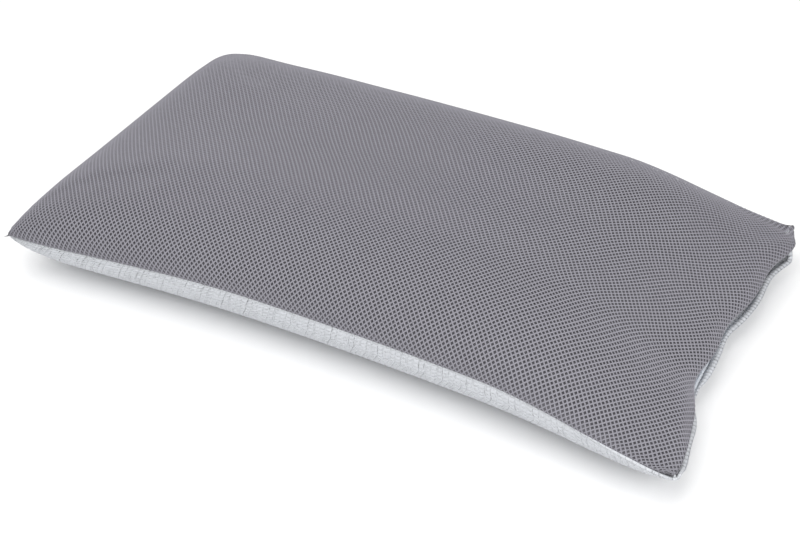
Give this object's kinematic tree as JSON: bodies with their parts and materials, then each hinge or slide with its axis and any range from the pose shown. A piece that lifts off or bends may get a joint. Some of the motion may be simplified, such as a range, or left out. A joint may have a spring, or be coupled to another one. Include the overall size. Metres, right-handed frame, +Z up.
{
  "type": "camp pillow",
  "caption": "Rectangular camp pillow with a foam core in a zipped cover of spacer mesh over smooth knit, full at one end and thin at the zip end.",
  "frame": {"origin": "on the floor under the middle of the pillow's bounding box", "axes": "+X along the pillow to the zip end, -Y to the long side nearest the viewer, +Z up through the crown"},
  "size_m": [0.6, 0.358, 0.093],
  "materials": {
    "foam": "open-cell foam, matte",
    "jersey": "fine jersey knit, matte",
    "spacer_mesh": "3-D spacer mesh with small diamond openings, matte",
    "knit": "smooth cool-touch knit with small embossed dimples",
    "thread": "spun polyester thread",
    "zip_tape": "woven tape",
    "zip_coil": "nylon monofilament, satin",
    "zip_metal": "die-cast zinc, nickel plated, satin",
    "label": "blank satin ribbon"
  },
  "bodies": {
    "cover": {"foam_core": "foam", "liner_upper": "jersey", "liner_lower": "jersey", "mesh_top_panel": "spacer_mesh", "knit_bottom_panel": "knit", "side_seam_overlock": "thread", "zip_tape_upper": "zip_tape", "zip_tape_lower": "zip_tape", "zip_coil_upper": "zip_coil", "zip_coil_lower": "zip_coil", "zip_top_stop_upper": "zip_coil", "zip_top_stop_lower": "zip_coil", "zip_bottom_stop": "zip_coil", "zip_stitching_upper": "thread", "zip_stitching_lower": "thread", "care_label": "label"},
    "slider": {"zip_slider": "zip_metal"},
    "pull": {"zip_pull": "zip_metal"}
  },
  "joints": [
    {"name": "zip_travel", "type": "slide", "parent": "cover", "child": "slider", "axis": [0, -1, 0], "range_m": [0, 0.239]},
    {"name": "pull_swing", "type": "hinge", "parent": "slider", "child": "pull", "pos_m": [0.27915, 0.1195, 0.02475], "axis": [0, 0, 1], "range_deg": [0, 165]}
  ]
}
